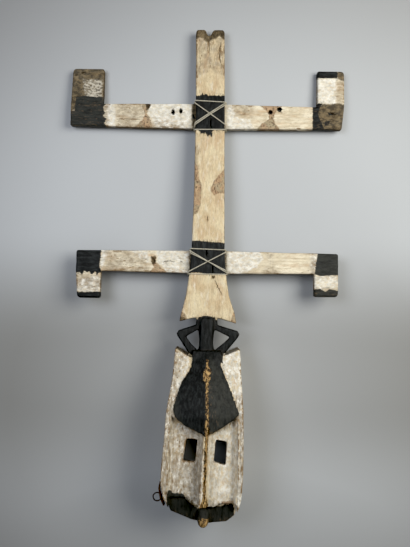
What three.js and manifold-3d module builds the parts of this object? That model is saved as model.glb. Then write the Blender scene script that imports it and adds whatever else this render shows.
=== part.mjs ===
// A kanaga mask: a hollow face box, an openwork figure with bent arms and a tall flared board,
// carved from one log, with two crossbars lashed to the board. It lies on its back, face up.
//
// Units are millimetres. Everything is carved in the log's own frame: x across, y up the log from
// the chin's lower edge, z forwards from the board's front face. The finished group is then tilted
// so that it lies on the box's back rim and on the raised ends of the upper crossbar.

import * as THREE from "three";
import { mergeVertices } from "three/addons/utils/BufferGeometryUtils.js";
import Module from "manifold-3d";

const wasm = await Module();
wasm.setup();

// Face box
const faceHeight = 352;
const faceWidth = 172;
const wall = 11;
const cheekThickness = 12;
const cheekFront = 34;
const rimFront = 50;
const noseFront = 65;
const rimWidth = 12;
const rimBevel = 9;
const eyeWidth = 24;
const eyeHeight = 45;
const eyeSpacing = 62.5;
const eyeLevel = 144;
const chinSetback = 8;
const pegLength = 42;
const pegRadius = 13;

// Openwork figure between the box and the board
const figureHeight = 58;
const torsoWidth = 31;
const torsoProud = 4;
const armThickness = 20;
const elbowSpan = 138;

// Board
const boardThickness = 26;
const boardWidth = 67;
const flareHeight = 106.5;
const flareWidth = 125;
const boardAboveBar = 198;
const boardWear = 2;
const notchWidth = 18;
const notchDepth = 14;

// Crossbars
const barSpacing = 334.5;
const barThickness = 17;
const housingDepth = 12;
const barWear = 2.5;
const upperBarSpan = 626;
const upperBarOffset = -4.4;
const upperBarHeight = 60;
const upperBarTaper = 4;
const upperHandWidth = 69;
const upperHandReach = 111;
const lowerBarSpan = 586.5;
const lowerBarOffset = 0.4;
const lowerBarHeight = 52;
const lowerBarTaper = 3;
const lowerHandWidth = 55;
const lowerHandReach = 84;
const barCorner = 4;
const handCorner = 9;
const handInnerCorner = 5;
const elbowCorner = 2;
const tieHoleRadius = 3.2;

// Lashings
const cordRadius = 1.2;

// Hide strip and wire ring on the box's left wall
const stripThickness = 4;
const stripWidth = 14;
const stripTop = 78;
const stripLength = 52;
const stripBow = 7;
const ringRadius = 8.5;
const ringWireRadius = 1.5;
const ringLevel = 42;
const ringStandOff = 18;
const shankGrip = 6;
const wallFittingLevel = 16;

// Fits, and how it lies
const clearance = 0.3;
const lieTilt = Math.atan(0.075);

// Levels up the log, and depths behind the board's front face
const flareY = faceHeight + figureHeight;
const lowerBarY = flareY + flareHeight + lowerBarHeight / 2;
const upperBarY = lowerBarY + barSpacing;
const boardTopY = upperBarY + boardAboveBar;
const barFront = housingDepth - boardThickness;
const barBack = barFront - barThickness;
const farBehind = faceHeight;

// Materials
const finish = (color, roughness, metalness = 0) =>
  new THREE.MeshStandardMaterial({ color, roughness, metalness });
const carvedWood = finish(0xcdbd9c, 0.85);
const plankWood = finish(0xd8cbb0, 0.85);
const plantFibre = finish(0xc9c6b8, 0.9);
const darkHide = finish(0x33261a, 0.8);
const rustedIron = finish(0x2a2523, 0.7, 0.6);

// A three.js geometry as a solid that can be joined and cut.
function solid(geometry) {
  const bare = new THREE.BufferGeometry();
  bare.setAttribute("position", geometry.getAttribute("position"));
  bare.setIndex(geometry.index);
  const merged = mergeVertices(bare, 1e-4);
  return new wasm.Manifold(
    new wasm.Mesh({
      numProp: 3,
      vertProperties: merged.attributes.position.array,
      triVerts: new Uint32Array(merged.index.array),
    }),
  );
}

// A solid as a named three.js mesh.
function meshOf(name, body, material) {
  const made = body.getMesh();
  const geometry = new THREE.BufferGeometry();
  const positions = Float32Array.from(made.vertProperties);
  geometry.setAttribute("position", new THREE.BufferAttribute(positions, 3));
  geometry.setIndex(new THREE.BufferAttribute(Uint32Array.from(made.triVerts), 1));
  geometry.computeVertexNormals();
  const mesh = new THREE.Mesh(geometry, material);
  mesh.name = name;
  return mesh;
}

const joined = (bodies) => bodies.reduce((sum, body) => sum.add(body));

// An outline in x and y. Each corner is [x, y] or [x, y, how far from the corner it rounds].
function outline(corners) {
  const shape = new THREE.Shape();
  corners.forEach(([x, y, rounding = 0], i) => {
    const corner = new THREE.Vector2(x, y);
    const before = new THREE.Vector2(...corners.at(i - 1)).sub(corner);
    const after = new THREE.Vector2(...corners[(i + 1) % corners.length]).sub(corner);
    const start = corner.clone().add(before.setLength(rounding));
    const end = corner.clone().add(after.setLength(rounding));
    if (i === 0) shape.moveTo(start.x, start.y);
    else shape.lineTo(start.x, start.y);
    if (rounding > 0) shape.quadraticCurveTo(x, y, end.x, end.y);
  });
  return shape;
}

// A plate cut to an outline, from one depth to another, with its edges worn off by some.
function plate(shape, back, front, wear = 0) {
  const geometry = new THREE.ExtrudeGeometry(shape, {
    depth: front - back - 2 * wear,
    bevelEnabled: wear > 0,
    bevelThickness: wear,
    bevelSize: wear,
    bevelOffset: -wear,
    bevelSegments: 1,
    curveSegments: 4,
  });
  return solid(geometry.translate(0, 0, back + wear));
}

// A prism that runs across the log, cut to a profile in y and z.
function prismAcross(profile) {
  const shape = new THREE.Shape(profile.map(([y, z]) => new THREE.Vector2(y, z)));
  const width = 2 * faceWidth;
  const geometry = new THREE.ExtrudeGeometry(shape, { depth: width, bevelEnabled: false });
  const axes = [new THREE.Vector3(0, 1, 0), new THREE.Vector3(0, 0, 1), new THREE.Vector3(1, 0, 0)];
  geometry.applyMatrix4(new THREE.Matrix4().makeBasis(...axes));
  return solid(geometry.translate(-width / 2, 0, 0));
}

// A skin over rings of equal length, closed with a flat face at each end.
// The rings run anticlockwise when seen from the side of the last ring.
function loft(rings) {
  const count = rings[0].length;
  const index = [];
  for (let r = 0; r + 1 < rings.length; r += 1) {
    for (let i = 0; i < count; i += 1) {
      const a = r * count + i;
      const b = r * count + ((i + 1) % count);
      index.push(a, b, b + count, a, b + count, a + count);
    }
  }
  const last = (rings.length - 1) * count;
  for (let i = 1; i + 1 < count; i += 1) {
    index.push(0, i + 1, i);
    index.push(last, last + i, last + i + 1);
  }
  const geometry = new THREE.BufferGeometry();
  geometry.setAttribute("position", new THREE.Float32BufferAttribute(rings.flat(2), 3));
  geometry.setIndex(index);
  return solid(geometry);
}

// The value at a level, read between the rows of a table of [level, value].
function between(table, level) {
  const next = table.findIndex(([at]) => at >= level);
  if (next === 0) return table[0][1];
  if (next < 0) return table.at(-1)[1];
  const [y0, v0] = table[next - 1];
  const [y1, v1] = table[next];
  return v0 + ((v1 - v0) * (level - y0)) / (y1 - y0);
}

// Board

// How far the board's edges stand from the middle: [level, distance].
const boardEdge = {
  left: [
    [flareY, flareWidth * 0.47],
    [flareY + flareHeight * 0.19, flareWidth * 0.435],
    [flareY + flareHeight * 0.55, flareWidth * 0.36],
    [flareY + flareHeight, boardWidth * 0.58],
    [lowerBarY + lowerBarHeight / 2, boardWidth * 0.52],
    [lowerBarY + barSpacing * 0.5, boardWidth * 0.47],
    [upperBarY, boardWidth * 0.46],
    [boardTopY, boardWidth * 0.5],
  ],
  right: [
    [flareY - flareHeight * 0.03, flareWidth * 0.53],
    [flareY + flareHeight * 0.19, flareWidth * 0.497],
    [flareY + flareHeight * 0.55, flareWidth * 0.397],
    [flareY + flareHeight, boardWidth * 0.635],
    [lowerBarY + lowerBarHeight / 2, boardWidth * 0.575],
    [lowerBarY + barSpacing * 0.5, boardWidth * 0.545],
    [upperBarY, boardWidth * 0.52],
    [boardTopY, boardWidth * 0.475],
  ],
};

function boardBlank() {
  const lobe = notchWidth * 0.45;
  const notchX = -boardWidth * 0.04;
  const archHalf = flareWidth * 0.2;
  const archY = flareY + flareHeight * 0.08;
  const rightSide = boardEdge.right.map(([y, x]) => [x, y]);
  const leftSide = boardEdge.left.map(([y, x]) => [-x, y]).reverse();
  rightSide.at(-1).push(lobe);
  leftSide[0].push(lobe);
  const notch = [
    [notchX + notchWidth / 2, boardTopY, lobe * 0.8],
    [notchX + notchWidth * 0.12, boardTopY - notchDepth, notchWidth * 0.1],
    [notchX - notchWidth * 0.22, boardTopY - notchDepth, notchWidth * 0.1],
    [notchX - notchWidth / 2, boardTopY, lobe * 0.6],
  ];
  const arch = [
    [-archHalf, archY, archHalf * 0.5],
    [archHalf, archY, archHalf * 0.5],
  ];
  const shape = outline([...rightSide, ...notch, ...leftSide, ...arch]);
  return plate(shape, -boardThickness, 0, boardWear);
}

// The shallow trench across the board's back that keeps a crossbar from turning.
function housing(barY, barHeight) {
  const half = barHeight / 2 + clearance;
  const trench = outline([
    [-boardWidth, barY - half],
    [boardWidth, barY - half],
    [boardWidth, barY + half],
    [-boardWidth, barY + half],
  ]);
  return plate(trench, -2 * boardThickness, barFront + clearance);
}

// Openwork figure

// One shoulder, upper arm and forearm, with the gap inside the bent arm. The gap's corner
// lies in the elbow, at a share of the arm's reach.
function arm(reach, elbow) {
  const x = (share) => reach * share;
  const y = (share) => faceHeight + figureHeight * share;
  const limb = outline([
    [x(0.32), y(1.2)],
    [x(0.35), y(0.88)],
    [x(0.95), y(0.66)],
    [x(1), y(0.54)],
    [x(0.97), y(0.44)],
    [x(0.48), y(-0.34)],
    [0, y(-0.34)],
    [0, y(1.2)],
  ]);
  const gap = outline([
    [x(0.26), y(0.7), 2],
    [x(elbow), y(0.42), 3],
    [x(0.51), y(0.17), 1],
    [x(0.26), y(-0.1), 2],
    [x(0.21), y(0.2)],
  ]);
  const back = -armThickness - torsoProud / 2;
  return plate(limb, back, back + armThickness, 2.5).subtract(plate(gap, 2 * back, armThickness));
}

// The narrow body, whose rounded top overlaps the board's lower edge.
function torso() {
  const half = torsoWidth / 2;
  const lean = torsoWidth * 0.05;
  const shape = outline([
    [lean - half * 1.05, faceHeight * 0.9],
    [lean + half * 0.9, faceHeight * 0.9],
    [lean + half, flareY + half * 0.6, half * 0.7],
    [lean - half, flareY + half * 0.6, half * 0.7],
  ]);
  return plate(shape, -boardThickness, torsoProud, torsoProud);
}

function figure() {
  return joined([arm(-elbowSpan * 0.465, 0.68), arm(elbowSpan * 0.535, 0.72), torso()]);
}

// Face box

const faceX = (share) => faceWidth * share;
const faceY = (share) => faceHeight * share;

// How far the box's walls stand from the middle: [share of height, share of width].
const faceEdge = {
  left: [
    [0.048, 0.4],
    [0.084, 0.42],
    [0.138, 0.48],
    [0.226, 0.518],
    [0.313, 0.511],
    [0.488, 0.482],
    [0.632, 0.466],
    [0.704, 0.446],
    [0.764, 0.425],
    [0.838, 0.404],
    [1, 0.384],
  ],
  right: [
    [0.022, 0.377],
    [0.087, 0.43],
    [0.146, 0.458],
    [0.263, 0.472],
    [0.38, 0.474],
    [0.65, 0.47],
    [0.741, 0.46],
    [0.848, 0.448],
    [1, 0.436],
  ],
};

// The box's outline, anticlockwise from the lowest point of its chin.
function faceOutline() {
  const chin = [[-0.262, 0.02], [-0.145, -0.004]];
  const crown = [[0.27, 0.964], [0.02, 0.945], [-0.176, 0.943]];
  const rightSide = faceEdge.right.map(([y, x]) => [x, y]);
  const leftSide = faceEdge.left.map(([y, x]) => [-x, y]).reverse();
  const shares = [[0.075, -0.022], [0.285, -0.012], ...rightSide, ...crown, ...leftSide, ...chin];
  return shares.map(([x, y]) => new THREE.Vector2(faceX(x), faceY(y)));
}

// An anticlockwise outline whose sides are all moved inwards by a distance.
function movedIn(points, distance) {
  return points.map((at, i) => {
    const inward = [points.at(i - 1), points[(i + 1) % points.length]].map((other, next) => {
      const along = next ? other.clone().sub(at) : at.clone().sub(other);
      return new THREE.Vector2(-along.y, along.x).normalize();
    });
    const mitre = inward[0].clone().add(inward[1]);
    return mitre.multiplyScalar(distance / (1 + inward[0].dot(inward[1]))).add(at);
  });
}

// How high the rim stands in front of the board's front face: [level, height].
const rimTable = [
  [faceY(-0.1), rimFront * 0.6],
  [faceY(0.03), rimFront * 0.76],
  [faceY(0.1), rimFront * 0.93],
  [faceY(0.22), rimFront * 0.985],
  [faceY(0.45), rimFront],
  [faceY(0.64), rimFront * 0.93],
  [faceY(1.02), 0],
];

function boxBlank() {
  const column = plate(new THREE.Shape(faceOutline()), -farBehind, 2 * rimFront);
  const slope = rimTable.map(([y, z]) => [y, z]).reverse();
  const below = [[faceY(-0.1), -2 * farBehind], [faceY(1.02), -2 * farBehind]];
  return column.intersect(prismAcross([...below, ...slope]));
}

// The ridged forehead, from the figure's waist down to the pointed brow.
function forehead() {
  const relief = 2.5;
  const crest = 3;
  const sink = 14;
  const rows = [
    [0.985, 0.17, 0.2, 0.12],
    [0.91, 0.165, 0.195, 0.36],
    [0.86, 0.185, 0.225, 0.5],
    [0.8, 0.285, 0.29, 0.66],
    [0.73, 0.345, 0.35, 0.82],
    [0.65, 0.387, 0.415, 0.95],
    [0.61, 0.392, 0.425, 0.99],
    [0.45, 0.392, 0.425, 1.02],
  ];
  const rings = rows.map(([level, left, right, ridge]) => {
    const y = faceY(level);
    const edge = between(rimTable, y) + relief;
    return [
      [faceX(-left), y, edge - sink],
      [faceX(right), y, edge - sink],
      [faceX(right), y, edge],
      [faceX(0.012) + crest, y, noseFront * ridge],
      [faceX(0.012) - crest, y, noseFront * ridge],
      [faceX(-left), y, edge],
    ];
  });
  const brow = outline(
    [
      [-0.6, 1.2],
      [-0.6, 0.66],
      [-0.385, 0.65],
      [-0.35, 0.6],
      [-0.26, 0.565],
      [-0.1, 0.529],
      [0.03, 0.512],
      [0.2, 0.548],
      [0.33, 0.588],
      [0.42, 0.628],
      [0.6, 0.66],
      [0.6, 1.2],
    ].map(([x, y]) => [faceX(x), faceY(y)]),
  );
  return loft(rings).intersect(plate(brow, -farBehind, 2 * noseFront));
}

// The sunk field of the two cheeks, whose sloping sides open towards the front.
function cheekField() {
  const left = faceX(0.52) - rimWidth - rimBevel;
  const right = faceX(0.472) - rimWidth - rimBevel;
  const floor = [
    [-left, faceY(-0.1)],
    [right, faceY(-0.1)],
    [right, faceY(0.58)],
    [faceX(0.012), faceY(0.47)],
    [-left + rimBevel * 0.4, faceY(0.59)],
  ];
  const spread = [
    [-rimBevel, 0],
    [rimBevel, 0],
    [rimBevel, rimBevel * 1.3],
    [0, rimBevel * 1.2],
    [-rimBevel, rimBevel * 1.3],
  ];
  const rise = rimFront - cheekFront;
  const ring = (times) =>
    floor.map(([x, y], i) => [
      x + spread[i][0] * times,
      y + spread[i][1] * times,
      cheekFront + rise * times,
    ]);
  return loft([ring(0), ring(1), ring(2)]);
}

// What is broken and cut away under the cheeks, down to the set-back chin band.
function chinStep() {
  const left = faceX(0.52) - rimWidth - rimBevel * 0.7;
  const right = faceX(0.472) - rimWidth;
  const broken = outline([
    [-left, faceY(-0.1)],
    [right, faceY(-0.1)],
    [right, faceY(0.105)],
    [faceX(0.2), faceY(0.1)],
    [faceX(0.1), faceY(0.072)],
    [faceX(-0.14), faceY(0.09)],
    [faceX(-0.2), faceY(0.132)],
    [-left, faceY(0.137)],
  ]);
  const slope = prismAcross([
    [faceY(-0.2), cheekFront - chinSetback * 2],
    [faceY(0.3), cheekFront - chinSetback * 0.5],
    [faceY(0.3), noseFront * 2],
    [faceY(-0.2), noseFront * 2],
  ]);
  return plate(broken, 0, noseFront * 2).intersect(slope);
}

// The long thin nose: [level, middle, half width of the crest, half width of the foot].
function nose() {
  const rows = [
    [0.56, 0.018, 0.022, 0.075],
    [0.45, 0.014, 0.027, 0.075],
    [0.22, -0.008, 0.036, 0.085],
    [0.14, -0.008, 0.044, 0.08],
    [0.105, -0.006, 0.056, 0.068],
  ];
  const foot = cheekFront - cheekThickness / 2;
  const waistFront = cheekFront + (noseFront - cheekFront) * 0.35;
  const rings = rows.map(([level, middle, crest, base]) => {
    const y = faceY(level);
    const at = (side) => faceX(middle + side);
    const waist = (crest + base) / 2.3;
    return [
      [at(-base), y, foot],
      [at(base), y, foot],
      [at(base), y, cheekFront],
      [at(waist), y, waistFront],
      [at(crest), y, noseFront],
      [at(-crest), y, noseFront],
      [at(-waist), y, waistFront],
      [at(-base), y, cheekFront],
    ];
  });
  return loft(rings);
}

// The blunt peg of the mouth, which points down and forwards from the chin.
function mouthPeg() {
  const profile = [
    [0, 0],
    [1.15, 0],
    [1.1, 0.3],
    [0.95, 0.6],
    [0.8, 0.82],
    [0.5, 0.95],
    [0, 1],
  ].map(([r, along]) => new THREE.Vector2(r * pegRadius, along * pegLength));
  const peg = new THREE.LatheGeometry(profile, 14);
  peg.rotateX(THREE.MathUtils.degToRad(125));
  peg.translate(0, faceY(0.05), cheekFront - chinSetback * 2.5);
  return solid(peg);
}

// One eye hole, a little out of square, right through the cheek. Its sides lean, and its right
// side lies lower by the slant.
function eyeHole(side, slant, lean) {
  const x = faceX(0.018) + (side * eyeSpacing) / 2;
  const y = eyeLevel - slant * 0.2;
  const w = eyeWidth / 2;
  const h = eyeHeight / 2;
  const shape = outline([
    [x - w - lean, y - h],
    [x + w - lean * 0.6, y - h - slant],
    [x + w + lean * 0.6, y + h - slant * 0.5],
    [x - w + lean, y + h],
  ]);
  return plate(shape, cheekFront - 3 * cheekThickness, 2 * noseFront);
}

// The hollow for a face, open at the back.
function hollow() {
  const column = plate(new THREE.Shape(movedIn(faceOutline(), wall)), -2 * farBehind, noseFront);
  const inside = cheekFront - cheekThickness;
  const profile = [
    [faceY(-0.1), -2 * farBehind],
    [faceY(1.1), -2 * farBehind],
    [faceY(1.1), -wall * 4],
    [faceY(0.97), -wall * 1.6],
    [faceY(0.64), rimFront * 0.93 - wall * 1.5],
    [faceY(0.5), inside],
    [faceY(0.17), inside],
    [faceY(0.12), inside - chinSetback * 1.6],
    [faceY(-0.1), inside - chinSetback * 2.2],
  ];
  return column.intersect(prismAcross(profile));
}

// Everything below the plane on which the mask lies: through the back edge of the upper
// crossbar's raised ends, and rising up the log by the tilt.
function underFloor() {
  const size = 5 * faceHeight;
  const slab = new THREE.BoxGeometry(size, size, size);
  slab.translate(0, -size / 4, -size / 2);
  slab.rotateX(lieTilt);
  slab.translate(0, upperBarY + upperHandReach - barWear, barBack);
  return solid(slab);
}

// Hide strip and wire ring

const wallX = (level) => -faceX(between(faceEdge.left, level / faceHeight));

// A band of some thickness along a flat curve.
function band(curve, thickness) {
  const steps = 10;
  const edge = (side) =>
    curve.getPoints(steps).map((at, i) => {
      const along = curve.getTangent(i / steps).setLength((side * thickness) / 2);
      return new THREE.Vector2(at.x - along.y, at.y + along.x);
    });
  return new THREE.Shape([...edge(1), ...edge(-1).reverse()]);
}

// The strip's line: out of a slot in the wall, bowed outwards, down to its free end.
function stripLine() {
  const x = wallX(stripTop);
  return new THREE.CubicBezierCurve(
    new THREE.Vector2(x + wall + 2, stripTop + wall),
    new THREE.Vector2(x - stripBow * 1.4, stripTop - stripLength * 0.1),
    new THREE.Vector2(x - stripBow, stripTop - stripLength * 0.5),
    new THREE.Vector2(x + stripBow, stripTop - stripLength),
  );
}

function stripBody(extra = 0) {
  const half = stripWidth / 2 + extra;
  const shape = band(stripLine(), stripThickness + 2 * extra);
  return plate(shape, wallFittingLevel - half, wallFittingLevel + half);
}

// An open wire ring, whose end is bent into a shank that is driven through the strip into the wall.
function ringBody(extra = 0) {
  const wire = new THREE.Shape().absarc(0, 0, ringWireRadius + extra, 0, 2 * Math.PI);
  const centreX = wallX(ringLevel) - ringStandOff;
  const shankY = ringLevel + ringRadius * 0.7;
  const route = [
    new THREE.Vector3(wallX(shankY) + shankGrip + extra, shankY, wallFittingLevel),
    new THREE.Vector3(centreX + ringRadius * 1.4, shankY, wallFittingLevel),
  ];
  const turns = 12;
  for (let i = 0; i <= turns; i += 1) {
    const angle = THREE.MathUtils.degToRad(40 + (290 * i) / turns);
    const x = centreX + ringRadius * Math.cos(angle);
    const y = ringLevel + ringRadius * Math.sin(angle);
    route.push(new THREE.Vector3(x, y, wallFittingLevel));
  }
  const path = new THREE.CatmullRomCurve3(route, false, "centripetal");
  return solid(
    new THREE.ExtrudeGeometry(wire, {
      steps: 32,
      curveSegments: 3,
      bevelEnabled: false,
      extrudePath: path,
    }),
  );
}

function maskAndBoard() {
  const carved = joined([
    boxBlank().subtract(cheekField()).subtract(chinStep()),
    forehead(),
    nose(),
    mouthPeg(),
    figure(),
    boardBlank(),
  ]);
  const cuts = joined([
    hollow(),
    eyeHole(-1, 1.5, 3.5),
    eyeHole(1, 7, 2),
    underFloor(),
    housing(upperBarY, upperBarHeight),
    housing(lowerBarY, lowerBarHeight),
    stripBody(clearance),
    ringBody(clearance),
  ]);
  return carved.subtract(cuts);
}

// Crossbars

// A plank with two hands that stand up (way 1) or hang down (way -1) from its ends.
// The hands' widths, their reaches, and how far each outer corner is cut back are [left, right].
function crossbar({ y, span, offset, height, taper, widths, reaches, cuts, way }) {
  const left = offset - span / 2;
  const right = offset + span / 2;
  const half = height / 2;
  const end = half - taper;
  const [leftWidth, rightWidth] = widths;
  const [leftReach, rightReach] = reaches;
  const [leftCut, rightCut] = cuts;
  const corners = [
    [left, -end, barCorner],
    [0, -half],
    [right - rightCut, -end, barCorner],
    [right, end],
    [right, rightReach, handCorner],
    [right - rightWidth, rightReach, handInnerCorner],
    [right - rightWidth, end, elbowCorner],
    [0, half],
    [left + leftWidth, end, elbowCorner],
    [left + leftWidth, leftReach, handInnerCorner],
    [left + leftCut, leftReach, handCorner],
    [left, end],
  ];
  const shape = outline(corners.map(([x, up, rounding]) => [x, y + way * up, rounding]));
  return plate(shape, barBack, barFront, barWear);
}

function upperCrossbar() {
  const bar = crossbar({
    y: upperBarY,
    span: upperBarSpan,
    offset: upperBarOffset,
    height: upperBarHeight,
    taper: upperBarTaper,
    widths: [upperHandWidth * 1.08, upperHandWidth * 0.9],
    reaches: [upperHandReach * 0.973, upperHandReach],
    cuts: [upperHandWidth * 0.04, upperHandWidth * 0.09],
    way: 1,
  });
  const tieHoles = [
    [-0.134, 0.15],
    [-0.104, 0.17],
    [0.222, 0.24],
    [0.256, 0.33],
  ].map(([x, up]) => {
    const hole = new THREE.CylinderGeometry(tieHoleRadius, tieHoleRadius, 3 * boardThickness, 8);
    hole.rotateX(Math.PI / 2);
    hole.translate(x * upperBarSpan, upperBarY + up * upperBarHeight, barBack);
    return solid(hole);
  });
  return bar.subtract(joined(tieHoles));
}

const lowerCrossbar = () =>
  crossbar({
    y: lowerBarY,
    span: lowerBarSpan,
    offset: lowerBarOffset,
    height: lowerBarHeight,
    taper: lowerBarTaper,
    widths: [lowerHandWidth * 1.02, lowerHandWidth * 0.98],
    reaches: [lowerHandReach, lowerHandReach * 0.88],
    cuts: [lowerHandWidth * 0.08, 0],
    way: -1,
  });

// Lashings

// A cord's route from bend to bend: it has a station on each side of every bend.
class CordRoute extends THREE.Curve {
  constructor(points) {
    super();
    const ends = points.map((point) => new THREE.Vector3(...point));
    this.stations = ends.flatMap((at, i) => {
      const others = [ends[i - 1], ends[i + 1]];
      if (others.includes(undefined)) return [at];
      return others.map((other) => other.clone().sub(at).setLength(1.5 * cordRadius).add(at));
    });
  }

  getPointAt(share) {
    return this.stations[Math.round(share * (this.stations.length - 1))].clone();
  }

  getTangentAt(share) {
    const at = Math.round(share * (this.stations.length - 1));
    const last = this.stations.length - 1;
    const before = this.stations[Math.max(at - 1, 0)];
    const after = this.stations[Math.min(at + 1, last)];
    return after.clone().sub(before).normalize();
  }
}

function strand(points) {
  const route = new CordRoute(points);
  const section = new THREE.Shape().absarc(0, 0, cordRadius, 0, 2 * Math.PI);
  return solid(
    new THREE.ExtrudeGeometry(section, {
      steps: route.stations.length - 1,
      curveSegments: 3,
      bevelEnabled: false,
      extrudePath: route,
    }),
  );
}

// A square lashing with a cross in front. Each diagonal is a pair of levels, as shares of half
// the bar's height, where it leaves the board's left edge and reaches the right edge.
function lashing(barY, barHeight, diagonals) {
  const off = cordRadius + clearance;
  const half = barHeight / 2;
  const front = off;
  const back = barBack - off;
  const cordWidth = 2 * cordRadius;
  const side = { left: -1, right: 1 };
  const edgeX = (name, y, rank = 0) =>
    side[name] * (between(boardEdge[name], barY + y) + off + rank * cordWidth);
  const cornerY = (up) => up * (half + off);
  const square = [
    ["left", 1, front],
    ["right", 1, front],
    ["right", 1, back],
    ["right", -1, back],
    ["right", -1, front],
    ["left", -1, front],
    ["left", -1, back],
    ["left", 1, back],
    ["left", 1, front],
  ].map(([name, up, z]) => [edgeX(name, cornerY(up)), barY + cornerY(up), z]);
  const acrossFront = diagonals.map(([leftShare, rightShare]) => {
    const tail = (name, share) => {
      const corner = cornerY(Math.sign(share));
      const x = edgeX(name, corner, 1);
      return [
        [edgeX(name, half * share), barY + half * share, front],
        [x, barY + corner, barFront],
        [x, barY + corner, back],
      ];
    };
    return strand([...tail("left", leftShare).reverse(), ...tail("right", rightShare)]);
  });
  const downTheBack = ["left", "right"].map((name) => {
    const x = edgeX(name, 0, 1);
    return strand([
      [x, barY + cornerY(1), back],
      [x, barY + cornerY(-1), back],
    ]);
  });
  return joined([strand(square), ...acrossFront, ...downTheBack]);
}

const upperLashing = () =>
  lashing(upperBarY, upperBarHeight, [
    [0.8, -0.84],
    [-0.72, 0.84],
    [-0.86, 0.7],
  ]);

const lowerLashing = () =>
  lashing(lowerBarY, lowerBarHeight, [
    [0.86, -0.94],
    [0.7, -0.78],
    [-0.88, 0.8],
  ]);

// The whole object, tilted down onto its back and centred over the origin.
const pieces = new THREE.Group();
pieces.add(
  meshOf("mask_and_board", maskAndBoard(), carvedWood),
  meshOf("upper_crossbar", upperCrossbar(), plankWood),
  meshOf("lower_crossbar", lowerCrossbar(), plankWood),
  meshOf("upper_lashing", upperLashing(), plantFibre),
  meshOf("lower_lashing", lowerLashing(), plantFibre),
  meshOf("hide_strip", stripBody().subtract(ringBody(clearance)), darkHide),
  meshOf("wire_ring", ringBody(), rustedIron),
);
pieces.rotation.x = -lieTilt;

const kanagaMask = new THREE.Group();
kanagaMask.add(pieces);
const extent = new THREE.Box3().setFromObject(kanagaMask, true);
const middle = extent.getCenter(new THREE.Vector3());
pieces.position.set(-middle.x, -middle.y, -extent.min.z);

export default kanagaMask;
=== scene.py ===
"""The looks of a kanaga mask that lies on its back on a pale floor.

The mask and its tall board are one carving. Two planks are lashed across the board with cord, and
a strip of rawhide and an iron ring stand out at the left of the chin. The wood is painted with
earth colours that have worn, chipped and stained.

Places are given in millimetres in the log's own frame: x across, y up the log from the chin, and
z forwards from the board's front face. TO_ROW takes them to the frame that the mask lies in.
"""
import itertools
import math

import bpy
import numpy as np
from mathutils import Matrix, Vector


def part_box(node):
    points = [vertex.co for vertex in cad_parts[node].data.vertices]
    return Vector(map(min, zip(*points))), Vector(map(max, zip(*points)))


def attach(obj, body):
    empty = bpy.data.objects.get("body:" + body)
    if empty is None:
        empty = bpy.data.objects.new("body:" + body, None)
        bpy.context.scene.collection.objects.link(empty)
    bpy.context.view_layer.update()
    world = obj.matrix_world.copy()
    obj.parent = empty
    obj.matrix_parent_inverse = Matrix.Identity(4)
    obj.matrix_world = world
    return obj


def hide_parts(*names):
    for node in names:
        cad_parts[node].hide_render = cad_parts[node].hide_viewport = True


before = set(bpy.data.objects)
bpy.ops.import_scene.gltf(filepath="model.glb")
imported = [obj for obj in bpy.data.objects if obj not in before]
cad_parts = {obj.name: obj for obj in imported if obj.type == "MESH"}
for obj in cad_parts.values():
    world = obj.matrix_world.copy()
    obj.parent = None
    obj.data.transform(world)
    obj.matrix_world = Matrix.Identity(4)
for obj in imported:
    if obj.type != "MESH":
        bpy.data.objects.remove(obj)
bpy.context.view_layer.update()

bpy.ops.object.select_all(action="DESELECT")

MM = 0.001

# The log lies tilted on its back. Its origin is at the chin's level on the board's front face
LIE_TILT = math.atan(0.075)
LOG_ORIGIN = (0.0044, -0.528114, 0.104619)
TO_ROW = (Matrix.Translation(LOG_ORIGIN) @ Matrix.Rotation(-LIE_TILT, 4, "X")
          @ Matrix.Scale(MM, 4))

# Levels up the log, and half the heights of the planks
CHEEK_FOOT = 46
FACE_HEIGHT = 352
FLARE = 410
LOWER_BAR = 542.5
LOWER_BAR_HALF = 26
HALF_MOONS = LOWER_BAR + 156
UPPER_BAR = 877
UPPER_BAR_HALF = 30
BOARD_TOP = 1075

# Depths in front of the board's front face
NOSE_FRONT = 65
CHEEK_FRONT = 34
BAR_FRONT = -14
BAR_BACK = -31

# Where the crests of the nose and the forehead stand, across the log
CREST = 3

# The camera looks straight down from the place that the photograph's perspective gives
CAMERA_PLACE = (0.0004, -0.0138, 1.2236)
CAMERA_ROLL = math.radians(0.95)
TALL_VIEW = math.radians(55)
SENSOR = 36


# Shared small tools

def only(piece):
    """Selects one object and makes it the active one."""
    bpy.ops.object.select_all(action="DESELECT")
    piece.select_set(True)
    bpy.context.view_layer.objects.active = piece


def shaped_by(piece, kind, **settings):
    """Adds a modifier with its settings and applies it."""
    made = piece.modifiers.new(kind.title(), kind)
    for key, value in settings.items():
        setattr(made, key, value)
    only(piece)
    bpy.ops.object.modifier_apply(modifier=made.name)


def fine_copy(node, name, voxel, triangles, smoothing=3):
    """A piece with a CAD node's form, in a mesh that is fine enough for tool marks and wear. Its
    voxels are measured in mm."""
    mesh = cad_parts[node].data.copy()
    mesh.name = name
    mesh.materials.clear()
    piece = bpy.data.objects.new(name, mesh)
    bpy.context.scene.collection.objects.link(piece)
    only(piece)
    bpy.ops.object.mode_set(mode="EDIT")
    bpy.ops.mesh.select_all(action="SELECT")
    bpy.ops.mesh.remove_doubles(threshold=0.01 * MM)
    bpy.ops.object.mode_set(mode="OBJECT")
    shaped_by(piece, "REMESH", mode="VOXEL", voxel_size=voxel * MM)
    shaped_by(piece, "SMOOTH", factor=0.5, iterations=smoothing)
    now = 2 * len(piece.data.polygons)
    if now > triangles:
        shaped_by(piece, "DECIMATE", ratio=triangles / now)
    return piece


def points_of(piece):
    """The piece's vertices in the frame, in metres."""
    flat = np.empty(3 * len(piece.data.vertices))
    piece.data.vertices.foreach_get("co", flat)
    return flat.reshape(-1, 3)


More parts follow.
